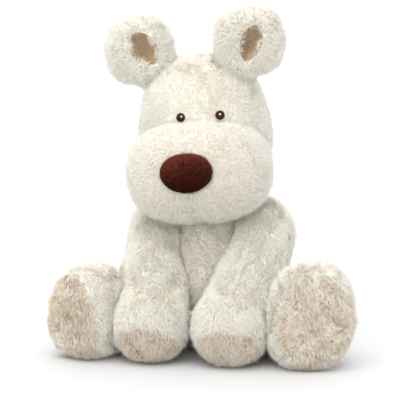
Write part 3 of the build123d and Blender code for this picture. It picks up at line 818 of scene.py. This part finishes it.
def build_arm(name):
    field = of_side(arm_field, name)
    centre = 0.5 * (SHOULDER[name] + PAW[name])
    low, high = centre - (42, 80, 70), centre + (42, 80, 70)
    skin = surface(field, low, high, CELL)
    skin_piece(f"arm_{name}_cover", skin, f"arm_{name}", cream_skin, "cream_plush",
               f"arm_{name}_cover", f"arm_{name}_pad")
    filling(f"arm_{name}_stuffing", field, low, high, f"arm_{name}")
    along = unit(PAW[name] - SHOULDER[name])

    def flow(p):
        return np.tile(along + np.array([0, 0, -0.7]), (len(p), 1))

    def to_others(p):
        return np.minimum(body_field(p), leg_field(p, name))

    def seen(p):
        return (p[:, 2] > LIMB_BARE) & ~under_head(p) & thin_near(to_others(p))

    def reach(p):
        return short_near(to_others(p), 8.5)

    # Painted shade in the folds against the body and the leg, and under the head.
    def shade(p):
        return 0.93 - 0.5 * fold(to_others(p)) - 0.2 * fold(head_field(p))

    pile(f"arm_{name}_pile", skin, field, flow, f"arm_{name}", cream_pile, 51 + SIDES[name],
         length=reach, keep=lambda p: seen(p) & ~on_pad(p, name), tint=shade, **LOCKS)
    pile(f"arm_{name}_pad_pile", skin, field, flow, f"arm_{name}", beige_pile,
         61 + SIDES[name], length=7.0, keep=lambda p: seen(p) & on_pad(p, name),
         tint=0.56, tint_spread=0.5, slot="sole_plush", density=3.0, curved=True)


# ------------------------------------------------------------------ legs

SOLE_SHIFT = 2.5                                 # the sole sits toward the foot's outer side


def on_sole(p, name):
    f = to_foot(p, name)
    wide, _, tall = FOOT_SIZE[name]
    across = f[:, 0] - SOLE_SHIFT * SIDES[name]
    inside = (across / (wide - 1.5)) ** 2 + ((f[:, 2] + 6) / (tall - 0.5)) ** 2 < 1
    return (f[:, 1] < -12) & inside


def build_leg(name):
    field = of_side(leg_field, name)
    low = np.minimum(HIP[name] - 30, FOOT[name] - (44, 44, 50))
    high = np.maximum(HIP[name] + 30, FOOT[name] + (44, 44, 50))
    low[2] = -4
    skin = surface(field, low, high, CELL)
    skin_piece(f"leg_{name}_cover", skin, f"leg_{name}", cream_skin, "cream_plush",
               f"leg_{name}_cover", f"leg_{name}_sole")
    filling(f"leg_{name}_stuffing", field, low, high, f"leg_{name}")
    forward = -turn_z(FOOT_TURN[name])[:, 1]

    def flow(p):
        return np.tile(0.8 * forward + np.array([0, 0, -0.25]), (len(p), 1))

    def sole_flow(p):
        """The sole's pile falls and leans outward, with a slight turn about the middle."""
        f = to_foot(p, name)
        spin = np.stack([-f[:, 2], 0 * f[:, 0], f[:, 0]], 1) / 40 * SIDES[name]
        fall = np.tile([-0.35 * SIDES[name], 0, -0.9], (len(p), 1))
        return (spin * 0.5 + fall) @ turn_z(FOOT_TURN[name]).T

    # Painted shade where the arm lies close against the leg.
    def shade(p):
        return 0.9 - 0.55 * fold(arm_field(p, name))

    def streak(p):
        return 0.55 + 0.3 * drift(p, 11)[:, 0]

    def to_others(p):
        return np.minimum(body_field(p), arm_field(p, name))

    def seen(p):
        return (p[:, 2] > LIMB_BARE) & (body_field(p) > BURIED) & thin_near(to_others(p))

    def reach(p):
        return short_near(to_others(p), 8.5)

    pile(f"leg_{name}_pile", skin, field, flow, f"leg_{name}", cream_pile, 71 + SIDES[name],
         length=reach, keep=lambda p: seen(p) & ~on_sole(p, name), tint=shade, **LOCKS)
    pile(f"leg_{name}_sole_pile", skin, field, sole_flow, f"leg_{name}", beige_pile,
         81 + SIDES[name], density=3.4, length=10.0, lift=0.45, mess=0.16, swirl_pull=0.7,
         swirl=20, tuft=2.2, tuft_pull=0.6, curl=0.7, keep=lambda p: seen(p) & on_sole(p, name),
         tint=streak, tint_spread=0.5, slot="sole_plush", curved=True, width=0.22)


# ------------------------------------------------------------------ tail

def build_tail():
    middle = TAIL_ROOT + TAIL_WAY * 20
    low, high = middle - 34, middle + 34
    skin = surface(tail_field, low, high, SMALL_CELL)
    skin_piece("tail_cover", skin, "tail", cream_skin, "cream_plush", "tail_cover")
    filling("tail_stuffing", tail_field, low, high, "tail")

    def flow(p):
        return np.tile(TAIL_WAY, (len(p), 1))

    pile("tail_pile", skin, tail_field, flow, "tail", cream_pile, 91, length=8.0, lift=0.5,
         keep=lambda p: body_field(p) > 1, curved=True, density=3.2)


# ------------------------------------------------------------------ face

NOSE_FILL_DEPTH = 2.0


def build_nose():
    centre = from_head(NOSE)
    low, high = centre - (27, 20, 22), centre + (27, 20, 22)
    skin = surface(nose_field, low, high, FINE_CELL)
    skin_piece("nose_cover", skin, "head", nose_skin, "nose_plush", "nose_cover")

    def inner(p):
        return np.maximum(nose_field(p), -muzzle_field(to_head(p))) + NOSE_FILL_DEPTH

    inside = surface(inner, low, high, SMALL_CELL)
    skin_piece("nose_stuffing", inside, "head", fibre, "stuffing", "nose_stuffing")

    def flow(p):
        away = unit(to_head(p) - NOSE) * np.array([1, 0, 0.6])
        return (away + np.array([0, 0, -0.5])) @ HEAD_AXES.T

    def keep(p):
        return muzzle_field(to_head(p)) > -1

    # Painted light: the nose's pile is paler towards its top, a painted highlight, and darker towards
    # its bottom, painted shade.
    def tint(p):
        return 0.45 + 0.04 * (to_head(p)[:, 2] - NOSE[2])

    pile("nose_pile", skin, nose_field, flow, "head", nose_pile, 101, density=9, length=2.6,
         width=0.22, lift=0.7, mess=0.4, tuft=1.0, tuft_pull=0.6, tint_spread=0.5, keep=keep,
         tint=tint, slot="nose_plush")


def build_seams():
    """Cords where the body is sewn to the neck and the legs, nearly lost in the pile."""
    low, high = (-50, -40, 96), (50, 50, 146)
    cord = surface(seam_field(plain_body, head_field), low, high, FINE_CELL)
    skin_piece("neck_seam", cord, "neck", backing, "seam_cloth", "neck_seam")
    for n in SIDES:
        low, high = HIP[n] - 42, HIP[n] + 42
        cord = surface(seam_field(plain_body, of_side(leg_field, n)), low, high, FINE_CELL)
        skin_piece(f"hip_{n}_seam", cord, f"hip_{n}", backing, "seam_cloth", f"hip_{n}_seam")


# ------------------------------------------------------------------ CAD nodes that stay

KEPT = {
    "pellets": beads,
    "pellet_pouch": pouch,
    "eye_left": thread_dark,
    "eye_right": thread_dark,
    "mouth_stitch": thread_dark,
    "eye_glints": thread_white,
    "closing_stitches": thread_cream,
}


def dress_kept_nodes():
    for node, material in KEPT.items():
        obj = frame["nodes"][node]
        obj.data.materials.clear()
        obj.data.materials.append(material)


# ------------------------------------------------------------------ floor, light, camera

FLOOR_REACH = 150000
FLOOR_GREY = (0.615, 0.615, 0.615, 1)
WORLD_LIGHT = 1.22
SUNS = {                                         # where each shines from, its strength and spread
    "key": ((-0.05, -0.5, 1.0), 1.35, 50),
    "fill": ((0.05, -1.0, 0.12), 1.75, 60),
    "back": ((-0.3, 1.0, 0.6), 0.5, 50),
}


def build_stage():
    far = FLOOR_REACH
    corners = [(-far, -far, 0), (far, -far, 0), (far, far, 0), (-far, far, 0)]
    floor = new_object("floor", corners, [(0, 1, 2, 3)])
    m, _, shader = nodes_of("floor_white")
    shader.inputs["Base Color"].default_value = FLOOR_GREY
    shader.inputs["Roughness"].default_value = 0.9
    shader.inputs["Specular IOR Level"].default_value = 0.1
    floor.data.materials.append(m)
    world = bpy.data.worlds.new("studio")
    world.use_nodes = True
    world.node_tree.nodes["Background"].inputs["Color"].default_value = (1, 1, 1, 1)
    world.node_tree.nodes["Background"].inputs["Strength"].default_value = WORLD_LIGHT
    bpy.context.scene.world = world
    for label, (way, strength, spread) in SUNS.items():
        lamp = bpy.data.lights.new(label, "SUN")
        lamp.energy = strength
        lamp.angle = math.radians(spread)
        obj = bpy.data.objects.new(label, lamp)
        obj.rotation_euler = Vector(way).to_track_quat("Z", "Y").to_euler()
        bpy.context.scene.collection.objects.link(obj)
    bpy.context.scene.view_settings.view_transform = "Standard"
    bpy.context.scene.cycles.max_bounces = 20
    bpy.context.scene.cycles.diffuse_bounces = 16


CAMERA_TURN, CAMERA_RISE = math.radians(13), math.radians(7)
CAMERA_DISTANCE = 1600.0
SENSOR_WIDTH = 36.0
VIEW_WIDTH = 354.0                               # how much the camera sees across, at the dog
VIEW_SHIFT, VIEW_HEIGHT = -9.735, 130.5          # its target, across the view and above the floor


def build_camera():
    right = np.array([math.cos(CAMERA_TURN), math.sin(CAMERA_TURN), 0])
    back = np.array([math.sin(CAMERA_TURN) * math.cos(CAMERA_RISE),
                     -math.cos(CAMERA_TURN) * math.cos(CAMERA_RISE), math.sin(CAMERA_RISE)])
    target = VIEW_SHIFT * right + np.array([0, 0, VIEW_HEIGHT])
    lens = bpy.data.cameras.new("camera")
    lens.sensor_width = SENSOR_WIDTH
    lens.lens = SENSOR_WIDTH * CAMERA_DISTANCE / VIEW_WIDTH
    lens.clip_end = 500
    camera = bpy.data.objects.new("camera", lens)
    camera.location = Vector((target + back * CAMERA_DISTANCE) * MM)
    camera.rotation_euler = Vector(back).to_track_quat("Z", "Y").to_euler()
    bpy.context.scene.collection.objects.link(camera)
    bpy.context.scene.camera = camera


build_body()
build_seams()
build_head()
for side_name in SIDES:
    build_ear(side_name)
    build_arm(side_name)
    build_leg(side_name)
build_tail()
build_nose()
dress_kept_nodes()
build_stage()
build_camera()
